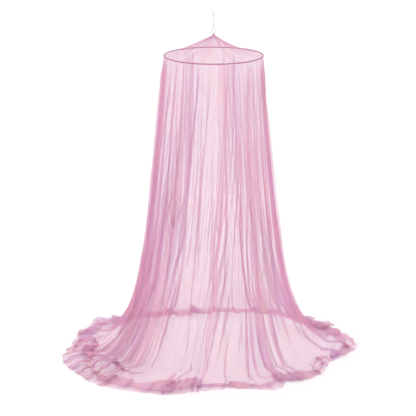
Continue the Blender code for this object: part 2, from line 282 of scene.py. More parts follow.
def useTone(tree, shader, size, light, dark):
    # the cloudy tone on the shader's colour; returns its node and the coordinates
    place = tree.nodes.new("ShaderNodeTexCoord").outputs["Object"]
    tone = tree.nodes.new("ShaderNodeGroup")
    tone.node_tree = clothTone
    for label, value in (("Vector", place), ("Size", size), ("Light", light), ("Dark", dark)):
        feed(tree, tone.inputs[label], value)
    feed(tree, shader.inputs["Base Color"], tone.outputs["Color"])
    return tone, place


def netThreads(tree, pitch, thread):
    # where the threads of a net lie, on the piece's UV map
    cloth = tree.nodes.new("ShaderNodeUVMap")
    cloth.uv_map = "cloth"
    mesh = tree.nodes.new("ShaderNodeGroup")
    mesh.node_tree = netMesh
    for label, value in (("Vector", cloth.outputs["UV"]), ("Pitch", pitch), ("Thread", thread)):
        feed(tree, mesh.inputs[label], value)
    return mesh.outputs["Thread"]


def valueOf(tree, name):
    # a value that a sheet's points carry
    node = tree.nodes.new("ShaderNodeAttribute")
    node.attribute_name = name
    return node.outputs["Fac"]


fibreDepth = 0.0002     # metres
# the cord is white; its light to mid grey colour is painted shade, and its cloudy tone changes at
# random
cordLook = {
    "light": (0.64, 0.64, 0.65), "dark": (0.44, 0.43, 0.45), "grain": 900.0,
    "fibres": 5200.0, "fibreBump": 0.35,
}


def fabricMaterial(name, look, roughness):
    # an opaque cloth, cord or plastic: cloudy colour, and fine fibres or grain as bump
    made, tree, shader = newMaterial(name, roughness, sheen=0.2, specular=0.2)
    place = useTone(tree, shader, look["grain"], look["light"], look["dark"])[1]
    fibres = tree.nodes.new("ShaderNodeTexNoise")
    fibres.inputs["Scale"].default_value = look["fibres"]
    fibres.inputs["Detail"].default_value = 2.0
    bump = tree.nodes.new("ShaderNodeBump")
    bump.inputs["Strength"].default_value = look["fibreBump"]
    bump.inputs["Distance"].default_value = fibreDepth
    tree.links.new(place, fibres.inputs["Vector"])
    tree.links.new(fibres.outputs["Fac"], bump.inputs["Height"])
    tree.links.new(bump.outputs["Normal"], shader.inputs["Normal"])
    return made


paleCord = fabricMaterial("paleCord", cordLook, roughness=0.8)

# the hanging cord, its two tied loops and their knots
hanging = {
    "plies": 2, "sides": 8,
    "cordRadius": 0.00125, "cordPitch": 0.0055, "cordSteps": 160, "routeStep": 8,
    "loopRadius": 0.0010, "loopTwists": 26, "stepsInTwist": 12, "pear": 0.45,
    "lowerLoopHalf": 0.011, "upperLoopHalf": 0.007,
    "knotRadius": 0.0032, "knotTurns": 3.4, "knotStrand": 0.00115, "stepsInTurn": 28,
    "knotTuck": 0.55, "tuckOver": 0.1,      # how far the knot's ends are tucked in, and how fast
    "knotCore": 0.0016, "coreSteps": 8,
}


def ringsAlong(path, across, radius, sides, closed):
    # rings of points round a path, across being a direction off the path at each point
    forward = np.roll(path, -1, axis=0) - np.roll(path, 1, axis=0)
    if not closed:
        forward[0], forward[-1] = path[1] - path[0], path[-1] - path[-2]
    forward = forward / np.linalg.norm(forward, axis=1, keepdims=True)
    across = across - forward * np.sum(across * forward, axis=1, keepdims=True)
    across = across / np.linalg.norm(across, axis=1, keepdims=True)
    beside = np.cross(across, forward)
    angle = np.linspace(0, 2 * np.pi, sides, endpoint=False)[None, :, None]
    radius = np.broadcast_to(radius, len(path))[:, None, None]
    spokes = np.cos(angle) * across[:, None] + np.sin(angle) * beside[:, None]
    return path[:, None] + radius * spokes


def twistedStrands(path, across, radius, twists, closed):
    # the plies of a cord twisted along a path
    forward = np.gradient(path, axis=0)
    beside = np.cross(across, forward)
    beside = beside / np.linalg.norm(beside, axis=1, keepdims=True)
    share = np.linspace(0, 1, len(path), endpoint=not closed)
    strands = []
    for ply in range(hanging["plies"]):
        angle = 2 * np.pi * (twists * share + ply / hanging["plies"])[:, None]
        centre = path + radius / 2 * (np.cos(angle) * across + np.sin(angle) * beside)
        strands.append(ringsAlong(centre, across, radius / 2, hanging["sides"], closed))
    return strands


def strandPiece(name, strands, finish, closed):
    # one object from rings of points, the ends of open strands capped
    points, faces, start = [], [], 0
    for rings in strands:
        number = start + np.arange(rings.shape[0] * rings.shape[1]).reshape(rings.shape[:2])
        if closed:
            faces += facesBetween(number, np.roll(number, -1, axis=0))
        else:
            faces += facesBetween(number[:-1], number[1:])
            faces += [number[0].tolist(), number[-1][::-1].tolist()]
        points.append(rings.reshape(-1, 3))
        start += rings.shape[0] * rings.shape[1]
    return pieceFrom(name, np.concatenate(points), faces, finish)


def stands(made, node):
    # a piece that takes the place of a CAD node of the one body
    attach(made, "root")
    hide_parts(node)
    return made


def upright(bottom, top, steps):
    # a straight path up the axis, with the direction off it
    path = np.zeros((steps, 3))
    path[:, 2] = np.linspace(bottom, top, steps)
    return path, np.tile((0.0, 1.0, 0.0), (steps, 1))


def cordLoop(name, node, halfWidth, wideEnd):
    # a pear-shaped loop, its wide end down (-1) or up (1)
    c = hanging
    low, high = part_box(node)
    count = c["stepsInTwist"] * c["loopTwists"]
    angle = np.linspace(0, 2 * np.pi, count, endpoint=False)
    widening = 1 + c["pear"] * wideEnd * np.cos(angle)
    reach = (high.z - low.z) / 2 - c["loopRadius"]
    path = np.stack([halfWidth * np.sin(angle) * widening, 0 * angle,
                     (high.z + low.z) / 2 + reach * np.cos(angle)], axis=1)
    across = np.tile((0.0, 1.0, 0.0), (count, 1))
    strands = twistedStrands(path, across, c["loopRadius"], c["loopTwists"], True)
    return stands(strandPiece(name, strands, paleCord, True), node)


def cordKnot(name, node):
    # cord wound round itself and pulled tight
    c = hanging
    low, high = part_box(node)
    strand, over = c["knotStrand"], c["tuckOver"]
    share = np.linspace(0, 1, int(c["stepsInTurn"] * c["knotTurns"]))
    angle = 2 * np.pi * c["knotTurns"] * share
    ends = (1 - softStep(share / over)) + (1 - softStep((1 - share) / over))
    tucked = (c["knotRadius"] - strand) * (1 - c["knotTuck"] * ends)
    out = np.stack([np.cos(angle), np.sin(angle), 0 * angle], axis=1)
    path = out * tucked[:, None]
    path[:, 2] = low.z + strand + (high.z - low.z - 2 * strand) * share
    coil = ringsAlong(path, out, strand, c["sides"], False)
    core = ringsAlong(*upright(low.z, high.z, c["coreSteps"]), c["knotCore"], c["sides"], False)
    return stands(strandPiece(name, [coil, core], paleCord, False), node)


def hangingCord(onIt):
    c = hanging
    low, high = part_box("hanging_cord")
    length = high.z - low.z
    path, across = upright(low.z, high.z, c["cordSteps"])
    twists = length / c["cordPitch"]
    strands = twistedStrands(path, across, c["cordRadius"], twists, False)
    made = stands(strandPiece("twistedCord", strands, paleCord, False), "hanging_cord")


hangingCord([
    cordLoop("lowerLoop", "lower_loop", hanging["lowerLoopHalf"], -1),
    cordKnot("lowerKnot", "lower_knot"),
    cordKnot("upperKnot", "upper_knot"),
    cordLoop("upperLoop", "upper_loop", hanging["upperLoopHalf"], 1),
])
print("cord, loops and knots made")

netLook = {
    "pink": (0.845, 0.43, 0.535),
    "lilac": (0.72, 0.38, 0.65),
    # tones across a metre, down a metre as a share of that, and how far apart they are
    "streaks": 9.0, "streakDrop": 0.12, "streakContrast": 2.2,
    "pitch": 0.0020,        # metres
    "thread": 0.150,        # share of the pitch, and how much more low on the wall and over the floor
    "fuller": 0.40,
    "hemWidth": 0.006,      # metres, and how solid the hem's edge is
    "hemSolid": 0.3,
}


def netMaterial(look):
    made, tree, shader = newMaterial("pinkNet", roughness=0.75, sheen=0.15, specular=0.15)
    tone, place = useTone(tree, shader, look["streaks"], look["pink"], look["lilac"])
    tone.inputs["Contrast"].default_value = look["streakContrast"]
    longer = tree.nodes.new("ShaderNodeMapping")
    longer.inputs["Scale"].default_value = (1, 1, look["streakDrop"])
    tree.links.new(place, longer.inputs["Vector"])
    tree.links.new(longer.outputs["Vector"], tone.inputs["Vector"])
    # the threads grow fuller from low on the wall down to the hem
    thread = mathNode(tree, "MULTIPLY_ADD", valueOf(tree, "fullerLow"),
                      look["thread"] * look["fuller"], look["thread"])
    hem = mathNode(tree, "LESS_THAN", valueOf(tree, "toEdge"), look["hemWidth"])
    hem = mathNode(tree, "MULTIPLY", hem, look["hemSolid"])
    alpha = mathNode(tree, "MAXIMUM", netThreads(tree, look["pitch"], thread), hem)
    tree.links.new(alpha, shader.inputs["Alpha"])
    return made


pinkNet = netMaterial(netLook)
print("net material ready")


skirt = {
    # height above the floor, then the reach to the left, right, front and back
    "sections": (
        (1.895, 0.300, 0.300, 0.300, 0.300), (1.690, 0.317, 0.309, 0.311, 0.313),
        (1.310, 0.354, 0.341, 0.343, 0.350), (0.930, 0.392, 0.382, 0.382, 0.395),
        (0.540, 0.444, 0.439, 0.432, 0.452), (0.300, 0.514, 0.508, 0.468, 0.515),
        (0.130, 0.625, 0.615, 0.500, 0.585), (0.045, 0.725, 0.740, 0.535, 0.640),
    ),
    # turn, how far the hem reaches there, and how high the cloth heaps
    "hem": (
        (0, 0.672, 0.034), (11, 0.655, 0.022), (22, 0.720, 0.026), (31, 0.765, 0.036),
        (38, 0.700, 0.040), (47, 0.755, 0.050), (58, 0.775, 0.046), (74, 0.755, 0.040),
        (84, 0.835, 0.040), (97, 0.925, 0.036), (118, 0.885, 0.028), (140, 0.860, 0.030),
        (160, 0.785, 0.036), (178, 0.742, 0.028), (186, 0.748, 0.020), (189, 0.752, 0.038),
        (192, 0.758, 0.036), (195, 0.768, 0.016), (207, 0.815, 0.016), (222, 0.880, 0.026),
        (232, 0.915, 0.022), (240, 0.935, 0.034), (250, 0.930, 0.042), (262, 0.915, 0.046),
        (280, 0.960, 0.052), (295, 0.930, 0.060), (310, 0.915, 0.054), (321, 0.865, 0.046),
        (330, 0.825, 0.042), (340, 0.800, 0.040), (352, 0.705, 0.036),
    ),
    # the main folds: turn at the hoop, halfway and at the foot, then width, depth and lean
    "folds": (
        (16, 12, 8, 0.022, -0.014, 0.000), (30, 27, 22, 0.024, 0.018, 0.006),
        (42, 39, 36, 0.034, 0.030, -0.012), (51, 49, 46, 0.028, 0.024, -0.008),
        (61, 59, 57, 0.026, 0.020, 0.004), (70, 69, 68, 0.028, 0.024, 0.008),
        (79, 79, 79, 0.030, 0.026, -0.006), (88, 89, 90, 0.030, 0.030, 0.006),
        (98, 99, 101, 0.032, 0.026, 0.010), (108, 110, 113, 0.030, 0.024, -0.004),
        (120, 122, 124, 0.034, 0.030, 0.008), (132, 133, 135, 0.030, 0.022, -0.006),
        (144, 145, 147, 0.034, 0.026, 0.004), (156, 157, 158, 0.030, 0.030, -0.010),
        (168, 168, 169, 0.026, 0.022, 0.006), (181, 181, 180, 0.036, 0.026, -0.004),
        (192, 192, 191, 0.028, 0.020, 0.004), (205, 204, 204, 0.034, 0.030, 0.008),
        (216, 217, 217, 0.028, 0.024, -0.006), (228, 228, 229, 0.034, 0.028, 0.006),
        (240, 240, 241, 0.030, 0.024, -0.008), (250, 251, 252, 0.032, 0.030, 0.004),
        (259, 260, 262, 0.030, 0.030, -0.006), (268, 268, 269, 0.030, 0.034, 0.006),
        (277, 276, 276, 0.030, 0.032, -0.006), (286, 284, 283, 0.030, 0.034, 0.008),
        (295, 292, 290, 0.030, 0.032, 0.004), (304, 300, 297, 0.030, 0.030, -0.008),
        (314, 309, 304, 0.028, 0.030, -0.006), (325, 319, 311, 0.028, 0.028, 0.006),
        (343, 332, 320, 0.026, 0.026, 0.010), (355, 346, 338, 0.022, 0.022, 0.008),
        (366, 355, 345, 0.018, 0.014, -0.004), (376, 362, 349, 0.016, 0.016, 0.004),
    ),
    # the two free edges' turns, likewise, then at the hem, and how many columns swing there
    "edges": ((5, 4, -7.5), (385, 368, 354.5)),
    "hemCorners": (-9.5, 352.5), "cornerColumns": 3,
    # the folds' depth and width at the hoop, and how they start, dip and lie
    "foldAtHoop": 0.22, "narrowAtHoop": 0.40, "gatherIn": 0.03, "dip": 0.15,
    "floorFold": 0.45, "hemScallop": 0.3,
    # the heap's height from the foot out to the hem, and how that changes round it
    "heapProfile": ((0, 0), (0.22, 0.30), (0.44, 0.95), (0.64, 0.40), (0.84, 0.62), (1, 0.02)),
    "heapWander": 0.05, "heapWanders": 5, "heapSwell": 0.2, "heapRipples": 23,
    "wallEnds": 0.25, "footCurve": 3,   # how the wall runs out into the heap
    # the lap: its gaps at the hoop and lower down, over how much of the drop it opens, how
    # it sinks and heaps on the floor, and over how many degrees it fades out
    "lapSeam": 0.0011, "lapGap": 0.0085, "lapOpen": 0.2,
    "lapSink": 0.4, "lapHeap": 0.4, "lapFade": 22.0,
    "fullerLowFrom": (0.78, 0.16),       # way down where the threads start to grow fuller, and over how much of it
    # where the net is smooth: turn, way down (1 the foot, 2 the hem), half widths, how much
    "calm": ((277, 0.925, 7, 0.03, 0.9), (262, 0.96, 9, 0.05, 1.0), (257, 1.28, 6, 0.25, 1.0),
             (68, 0.95, 17, 0.07, 1.0), (72, 1.06, 14, 0.10, 0.8), (100, 1.14, 9, 0.15, 1.0),
             (321, 1.15, 5, 0.12, 0.8), (298, 1.02, 4, 0.05, 0.7)),
    # lines where the net is folded over in a narrow pleat: (way down, turn) along it, half
    # width, how far it folds over
    "pleats": (
        (((0, 345), (0.32, 334.5), (0.63, 326), (0.8, 328), (0.91, 319.5), (1.03, 316), (1.5, 318)),
         0.0045, 3.1),
        (((0.55, 331.5), (0.63, 328.5), (0.8, 330.5), (0.91, 322), (1.03, 318.5), (1.5, 320.5)),
         0.0040, 3.2),
        (((0, 358), (0.32, 349.5), (0.62, 344), (0.82, 342), (0.95, 340.5)), 0.0045, 3.4),
        (((0.4, 33), (0.72, 28.5), (0.85, 25), (0.96, 22.5), (1.4, 21)), 0.0045, 3.2),
        (((0.55, 9), (0.83, 6.5), (0.95, 7), (1.4, 7)), 0.0040, 3.2),
        (((0.55, 39), (0.76, 36), (0.87, 35.5), (1, 36.5), (1.4, 38)), 0.0050, 3.2),
        (((0.6, 49), (0.77, 47), (0.84, 48), (0.91, 46), (1, 43), (1.4, 43)), 0.0050, 3.2),
        (((0.91, 351), (0.97, 345), (1.2, 341), (1.5, 338)), 0.0080, 3.8),
        (((0.84, 68), (0.88, 72), (0.92, 76.5), (0.97, 78), (1.05, 80), (1.35, 82)), 0.0280, 3.7),
    ),
    "pleatLift": 0.15,      # share of its width
    "pleatEarly": 0.02, "pleatFade": 0.1,
    "footHeight": 0.062, "underHoop": 0.0036,
    "columns": 1420, "wallRows": 22, "floorRows": 48,
    # the wall's rows draw together downwards, and its columns are spaced on the sixth from
    # the foot, in steps this much finer than the folds' own columns
    "rowPower": 0.9, "spacedOn": 6, "finer": 8,
    "netHalf": 0.0006,
}

# the gathers between the main folds, broad ones and fine ones
gathers = {
    # how many go round, their depth as a share of their width, how far their sides fold
    # back under them (over 1 they do), how unsteady they are, and a seed
    "sets": ((52, 0.22, 2.6, 1.2, 2.0), (157, 0.34, 2.5, 0.6, 11.0)),
    # their noises: over how many gathers one changes, and how fast downwards
    "wander": (7, 1.3), "jitter": (2, 2.2), "unequal": (2.6, 2.0),
    "jitterBy": 0.3, "usual": 0.8, "unequalBy": 0.9, "amounts": (0.05, 1.7),
    # turn, how strongly the net is gathered there in the upper half, the lower half and at
    # the foot, then where the lower half and the foot start and how soon they are full
    "upper": ((-8, 0.6), (5, 0.8), (20, 0.9), (40, 0.9), (60, 0.7), (90, 0.65), (120, 0.7),
              (150, 0.8), (170, 0.6), (190, 0.4), (210, 0.9), (235, 0.8), (270, 0.9),
              (295, 0.9), (312, 0.9), (324, 1.1), (334, 1.1), (345, 0.7), (356, 0.4), (368, 0.6)),
    "lower": ((-8, 1.1), (2, 1.5), (12, 1.5), (25, 1.2), (40, 0.9), (55, 0.7), (90, 0.6),
              (125, 0.7), (150, 1.0), (170, 0.9), (190, 0.4), (205, 0.7), (225, 1.0),
              (270, 0.9), (290, 0.8), (303, 0.9), (312, 0.9), (326, 1.1), (338, 0.7), (350, 0.6),
              (360, 0.9), (368, 1.5)),
    "foot": ((-8, 1.1), (0, 0.5), (15, 0.4), (24, 0.5), (29, 0.8), (36, 1.0), (43, 0.6),
             (50, 0.3), (62, 0.12), (80, 0.12), (90, 0.9), (105, 0.8), (130, 0.8), (160, 0.8),
             (190, 0.6), (215, 0.8), (250, 0.8), (280, 0.7), (292, 0.8), (303, 1.2), (312, 1.2),
             (319, 0.5), (325, 0.3), (340, 0.3), (350, 0.4), (356, 1.0), (368, 0.7)),
    "lowerFrom": (0.25, 0.3), "footFrom": (0.82, 0.18),
    # how far down (1 at the foot, 2 at the hem), and how strongly it is gathered there
    "down": ((0, 0.7), (0.2, 0.8), (0.45, 1.0), (0.85, 1.1), (1.1, 1.0), (2, 0.7)),
    "least": 0.05, "most": 2.4, "startOver": 0.04, "leftInCalm": 0.05,
    # turn, how much of the gathers' height is left on the floor there
    "lie": ((-8, 0.3), (20, 0.4), (60, 0.5), (85, 1.0), (140, 0.9), (165, 0.4), (195, 0.3),
            (215, 0.25), (250, 0.25), (285, 0.5), (300, 0.6), (320, 0.4), (352, 0.3)),
    "lieOut": 0.4, "lieDrop": 0.5,      # how much they lie over there, and sink to the hem
    # spots more or less gathered: turn, way down, how wide, how tall, how much
    "spots": ((206, 0.08, 8, 0.25, 0.45), (212, 0.4, 8, 0.25, 0.45), (219, 0.7, 8, 0.2, 0.3),
              (286, 1.0, 8, 0.05, 0.2), (337, 1.66, 12, 0.35, 1.4), (47, 1.6, 11, 0.45, 0.75),
              (72, 1.6, 8, 0.4, 1.0), (276, 1.6, 9, 0.4, 0.1),
              (5, 1.8, 14, 0.2, 0.8), (308, 1.25, 8, 0.35, 0.4), (315, 1.8, 7, 0.3, 0.2),
              (272, 1.38, 8, 0.18, -0.4), (14, 0.74, 12, 0.12, 0.7), (190.5, 1.85, 3, 0.2, 1.0)),
}

# the ridges in which the net doubles back on the floor
heap = {
    # how many lie between the foot and the hem, how far their sides fold back under them,
    # their height, how they wander, and how much they slant round
    "ridges": 3.0, "overlap": 3.4, "ridgeTall": 0.018, "swirl": 0.8, "drift": 0.9,
    "swirls": (14, 1.5), "swirlSeed": 2.2,
    # small crinkles all over it: how far they push the cloth, how many lie round and
    # outwards, and how much they lift it
    "crinkle": 0.009, "crinklesRound": 150, "crinklesOut": 8, "crinkleUp": 0.5,
    "crinkleSeeds": (21.1, 31.7, 41.9),
    # turn, how much it doubles back there
    "amount": ((-8, 0.3), (10, 0.3), (30, 0.4), (47, 0.5), (62, 0.7), (80, 0.9), (92, 1.0),
               (103, 0.6), (115, 0.5), (130, 0.4), (160, 0.3), (180, 0.3), (200, 0.3), (225, 0.4),
               (245, 0.4), (270, 0.4), (290, 0.3), (304, 0.3), (318, 0.3), (333, 0.4), (345, 0.4),
               (356, 0.3)),
    # single broad tucks, in which the net lies folded over itself: turn, way out, half width
    # in degrees, half depth in metres, how far it folds over, and how much further out it
    # lies at its end
    "tucks": ((237, 0.66, 8, 0.040, 3.4, -0.1), (279, 0.36, 10, 0.058, 3.1, 0.14),
              (269, 0.76, 8, 0.034, 2.4, 0.0), (250, 0.76, 11, 0.055, 3.3, 0.0),
              (337, 0.66, 15, 0.075, 3.7, -0.08), (46, 0.66, 14, 0.070, 3.4, 0.1),
              (15, 0.66, 5, 0.034, 3.6, 0.0), (26, 0.74, 6, 0.034, 3.2, 0.0),
              (4, 0.62, 17, 0.034, 3.0, 0.0), (313, 0.78, 9, 0.070, 3.2, 0.0),
              (310, 0.34, 9, 0.065, 2.3, 0.08), (190.5, 0.84, 3, 0.020, 3.6, 0.0),
              (195, 0.22, 42, 0.028, 3.6, 0.0), (195, 0.80, 42, 0.028, 3.4, 0.0),
              (112, 0.50, 14, 0.034, 3.8, -0.06), (84, 0.72, 7, 0.050, 3.4, 0.0)),
    "tuckTall": 0.007,
    # the shares of the way out over which ridges and tucks start at the foot and end at the hem
    "ridgeEnds": (0.2, 0.12), "tuckEnds": (0.08, 0.1),
    # near the hem the folds come down: how many metres from it, then turn and share of
    # height left there
    "settleFrom": 0.11,
    "settled": ((-10, 0.3), (75, 0.3), (110, 0.5), (140, 1.0), (232, 1.0), (258, 0.5), (290, 0.3),
                (370, 0.3)),
}


def sideReach(column, height):
    # the reach to one side at each height
    rows = sorted((row[0], row[column]) for row in skirt["sections"])
    return smoothCurve(rows, height)


def wallReach(turn, height):
    # the skirt's distance from the axis without its folds
    across, along = np.sin(np.radians(turn)), np.cos(np.radians(turn))
    a = np.where(across > 0, sideReach(2, height), sideReach(1, height))
    b = np.where(along > 0, sideReach(3, height), sideReach(4, height))
    return 1 / np.hypot(across / a, along / b)


def hemValue(column, turn):
    # the hem's table read at a turn, with three rows repeated at each end to close it
    rows = [(row[0], row[column]) for row in skirt["hem"]]
    before = [(t - 360, value) for t, value in rows[-3:]]
    after = [(t + 360, value) for t, value in rows[:3]]
    return smoothCurve(before + rows + after, turn)


def turnDown(fold, drop):
    # a fold's turn at each share of the drop
    return smoothCurve(((0.0, fold[0]), (0.5, fold[1]), (1.0, fold[2])), drop)


def foldColumns(drop, height):
    # the turns and rises off the wall of each fold's edges and crest, one row for each drop
    growth = np.minimum(1.0, drop / skirt["gatherIn"])
    growth = growth * (skirt["foldAtHoop"] + (1 - skirt["foldAtHoop"]) * drop)
    narrow = skirt["narrowAtHoop"] + (1 - skirt["narrowAtHoop"]) * drop
    edges = [turnDown(edge, drop) for edge in skirt["edges"]]
    level = np.zeros_like(drop)
    previous = edges[0]
    columns = [(previous, level)]
    for fold in skirt["folds"]:
        width, depth, lean = fold[3:]
        turn = turnDown(fold, drop)
        perMetre = np.degrees(1 / wallReach(turn, height))
        half = width / 2 * narrow * perMetre
        edgeRise = -skirt["dip"] * depth * growth
        columns += [((previous + turn - half) / 2, level), (turn - half, edgeRise),
                    (turn + lean * growth * perMetre, depth * growth), (turn + half, edgeRise)]
        previous = turn + half
    columns += [((previous + edges[1]) / 2, level), (edges[1], level)]
    turns, rises = zip(*columns)
    return np.stack(turns, axis=1), np.stack(rises, axis=1)


def lapOf(hoopTurn):
    # -1 on the right flap's inner layer, 1 on the left flap's outer one, fading to 0
    right, left = skirt["edges"][0][0], skirt["edges"][1][0]
    inner = np.clip(1 - (hoopTurn - (left - 360)) / skirt["lapFade"], 0, 1)
    outer = np.clip(1 - ((right + 360) - hoopTurn) / skirt["lapFade"], 0, 1)
    return np.where(hoopTurn < 180, -inner, outer)


def spotted(spots, turn, way):
    # soft spots on the skirt, each with its turn, way down, half widths and strength
    total = 0
    for spotTurn, spotWay, wide, tall, strength in spots:
        off = np.hypot(turnsApart(turn, spotTurn) / wide, (way - spotWay) / tall)
        total = total + strength * np.exp(-off ** 2)
    return total


def skirtRows():
    # the height above the floor, the share of the drop and the way out to the hem of each row
    s = skirt
    top = hoopZ - floorZ - s["underHoop"]
    wallOut = np.linspace(0, 1, s["wallRows"])
    wallHeight = top + (s["footHeight"] - top) * (wallOut ** s["rowPower"])
    floorOut = np.linspace(0, 1, s["floorRows"] + 1)[1:]
    height = np.concatenate([wallHeight, np.full(len(floorOut), s["footHeight"])])
    out = np.concatenate([np.zeros(len(wallHeight)), floorOut])
    drop = (top - height) / top
    drop[len(wallHeight):] = 1.0
    return height, drop, out[:, None]


def evenColumns(height, keyTurns, keyRises):
    # even steps of the cloth's width, and where they fall among the folds' columns
    s = skirt
    row = s["wallRows"] - s["spacedOn"]
    many = np.linspace(0, keyTurns.shape[1] - 1, s["finer"] * keyTurns.shape[1])
    turn = between(keyTurns[row:row + 1], many)[0]
    rise = between(keyRises[row:row + 1], many)[0]
    line = placed(turn, wallReach(turn, height[row]) + rise, 0.0)
    lengths = np.concatenate([[0], np.cumsum(np.linalg.norm(np.diff(line, axis=0), axis=1))])
    cloth = np.linspace(0, 1, s["columns"])
    return cloth, np.interp(cloth, lengths / lengths[-1], many)


def cornerSwing(at, lastColumn):
    # how far the hem's corners swing further round over the floor
    swing = 0
    for end, corner, edge in zip((0, lastColumn), skirt["hemCorners"], skirt["edges"]):
        near = np.clip(1 - np.abs(at - end) / skirt["cornerColumns"], 0, 1)
        swing = swing + (corner - edge[2]) * near
    return swing


def gatherStrength(turn, way, away, calm):
    # how strongly the net is gathered at each point
    g = gathers
    upper, lower, atFoot = (smoothCurve(g[part], turn) for part in ("upper", "lower", "foot"))
    pulled = upper + (lower - upper) * fadeIn(way, g["lowerFrom"])
    pulled = pulled + (atFoot - pulled) * fadeIn(way, g["footFrom"])
    pulled = pulled * smoothCurve(g["down"], way)
    pulled = np.clip(pulled + spotted(g["spots"], turn, way), g["least"], g["most"])
    pulled = pulled * softStep(away / g["startOver"])
    return pulled * (g["leftInCalm"] + (1 - g["leftInCalm"]) * calm)


def gatherPhase(cloth, away, waves, unsteady, seed):
    # where each point lies in its gather, in radians
    g = gathers
    phase = waves * cloth[None, :]
    wide, down = g["wander"]
    phase = phase + unsteady * ripple(cloth * waves / wide, away * down, seed + 0.1)
    wide, down = g["jitter"]
    jitter = ripple(cloth * waves / wide, away * down, seed + 0.7)
    return 2 * np.pi * (phase + g["jitterBy"] * jitter)


def skirtPoints():
    # rows down the wall, then out over the floor to the hem
    s, g, h = skirt, gathers, heap
    height, drop, out = skirtRows()
    keyTurns, keyRises = foldColumns(drop, height)
    cloth, at = evenColumns(height, keyTurns, keyRises)
    turn, rise = between(keyTurns, at), between(keyRises, at)
    lap = lapOf(turn[0])[None, :]
    away = drop[:, None]
    way = away + out
    calm = 1 - np.clip(spotted(s["calm"], turn, way), 0, 1)
    rise = rise * calm
    turn = turn + cornerSwing(at, keyTurns.shape[1] - 1) * out

    reachWall = wallReach(turn, height[:, None])
    opened = np.clip(away / s["lapOpen"], 0, 1)
    spacing = s["lapSeam"] + (s["lapGap"] - s["lapSeam"]) * opened
    hemReach = hemValue(1, turn)
    wander = s["heapWander"] * np.sin(np.radians(s["heapWanders"] * turn))
    outHere = out + wander * np.sin(np.pi * out)
    leave = softStep(out / s["wallEnds"])
    reach = reachWall + (hemReach - reachWall) * outHere
    reach = reach + rise * (1 - leave + s["hemScallop"] * leave * outHere)
    reach = reach + spacing * lap * (1 - leave)

    tall = hemValue(2, turn) * (1 + s["lapHeap"] * lap)
    swell = s["heapSwell"] * np.sin(np.radians(s["heapRipples"] * turn))
    tall = tall * (1 - s["heapSwell"] + swell)
    z = tall * smoothCurve(s["heapProfile"], outHere)
    z = z + s["footHeight"] * (1 - out) ** s["footCurve"]
    z = z + rise * (1 - (1 - s["floorFold"]) * out) * leave
    z = z + s["lapGap"] * lap * (1 - s["lapSink"] * out) * leave
    z = np.where(out > 0, z, height[:, None])

    # the gathers, which fold back under themselves where they are strong
    perimeter = np.abs(np.diff(turn, axis=1)).sum(1, keepdims=True) * np.pi / 180 * reach
    pulled = gatherStrength(turn, way, away, calm)
    lie = smoothCurve(g["lie"], turn)
    shift = 0
    for waves, depth, overlap, unsteady, seed in g["sets"]:
        phase = gatherPhase(cloth, away, waves, unsteady, seed)
        wide, down = g["unequal"]
        unequal = ripple(cloth * waves / wide, away * down + out, seed + 0.5)
        amount = pulled * np.clip(g["usual"] + g["unequalBy"] * unequal, *g["amounts"])
        width = perimeter / waves
        left = 1 - (1 - g["lieOut"] * lie) * leave
        reach = reach + amount * depth * width * np.cos(phase) * left
        raised = amount * lie * leave * (1 - g["lieDrop"] * out) * depth * width
        z = z + raised * (1 + np.cos(phase)) / 2
        shift = shift + amount * overlap * width / (4 * np.pi) * np.sin(2 * phase)
    turn = turn + np.degrees(shift / reach)

    for line, width, strength in s["pleats"]:
        off = np.radians(turnsApart(turn, smoothCurve(line, way))) * reach / width
        start, end = line[0][0] - s["pleatEarly"], line[-1][0]
        ends = fadeIn(way, (start, s["pleatFade"])) * softStep((end - way) / s["pleatFade"])
        hill = np.exp(-off ** 2) * ends
        turn = turn - np.degrees(strength * off * width * hill / reach)
        reach = reach + s["pleatLift"] * width * off * hill

    # the heap's ridges and tucks, which double the net back on itself
    many, fast = h["swirls"]
    swirl = h["swirl"] * ripple(cloth * many, out * fast, h["swirlSeed"])
    ridge = 2 * np.pi * (h["ridges"] * outHere + (swirl + h["drift"] * np.radians(turn)))
    atFoot, atHem = h["ridgeEnds"]
    doubled = smoothCurve(h["amount"], turn) * calm
    doubled = doubled * softStep(out / atFoot) * softStep((1 - out) / atHem)
    spread = hemReach - reachWall
    width = spread / h["ridges"]
    reach = reach + doubled * h["overlap"] * width / (4 * np.pi) * np.sin(2 * ridge)
    z = z + h["ridgeTall"] * doubled * (1 + np.cos(ridge)) / 2
    first, last = h["tuckEnds"]
    ends = softStep(out / first) * softStep((1 - out) / last)
    for tuckTurn, tuckOut, wide, deep, strength, further in h["tucks"]:
        along = turnsApart(turn, tuckTurn) / wide
        off = (outHere - tuckOut - further * along) * spread / deep
        hill = np.exp(-off ** 2 - along ** 4) * ends
        reach = reach - strength * off * deep * hill
        z = z - h["tuckTall"] * off * hill

    # what is folded over near the hem comes down to the floor
    fromHem = softStep((hemReach - reach) / h["settleFrom"])
    z = z * (1 - (1 - smoothCurve(h["settled"], turn)) * (1 - fromHem) * leave)
    pushed = h["crinkle"] * calm * softStep(out / atFoot) * np.ones_like(turn)
    push = [pushed * ripple(cloth * h["crinklesRound"], out * h["crinklesOut"], seed)
            for seed in h["crinkleSeeds"]]
    reach, z = reach + push[0], z + h["crinkleUp"] * np.abs(push[2])
    turn = turn + np.degrees(push[1] / reach)
    z = np.maximum(z, s["netHalf"])
    # the net's threads grow fuller from low on the wall down to the hem
    fullerLow = fadeIn(way, s["fullerLowFrom"]) * np.ones_like(turn)
    return placed(turn, reach, z + floorZ), fullerLow


def clothMap(points):
    # UV in metres of cloth, and the distance to the nearest free edge or hem
    across = np.linalg.norm(np.diff(points, axis=1), axis=2)
    down = np.linalg.norm(np.diff(points, axis=0), axis=2)
    u = np.concatenate([np.zeros((len(points), 1)), np.cumsum(across, axis=1)], axis=1)
    v = np.concatenate([np.zeros((1, points.shape[1])), np.cumsum(down, axis=0)], axis=0)
    toEdge = np.minimum(np.minimum(u, u[:, -1:] - u), v[-1:] - v)
    wide = u * (u[-1, -1] / u[:, -1:])
    return np.stack([wide, v], axis=-1), toEdge


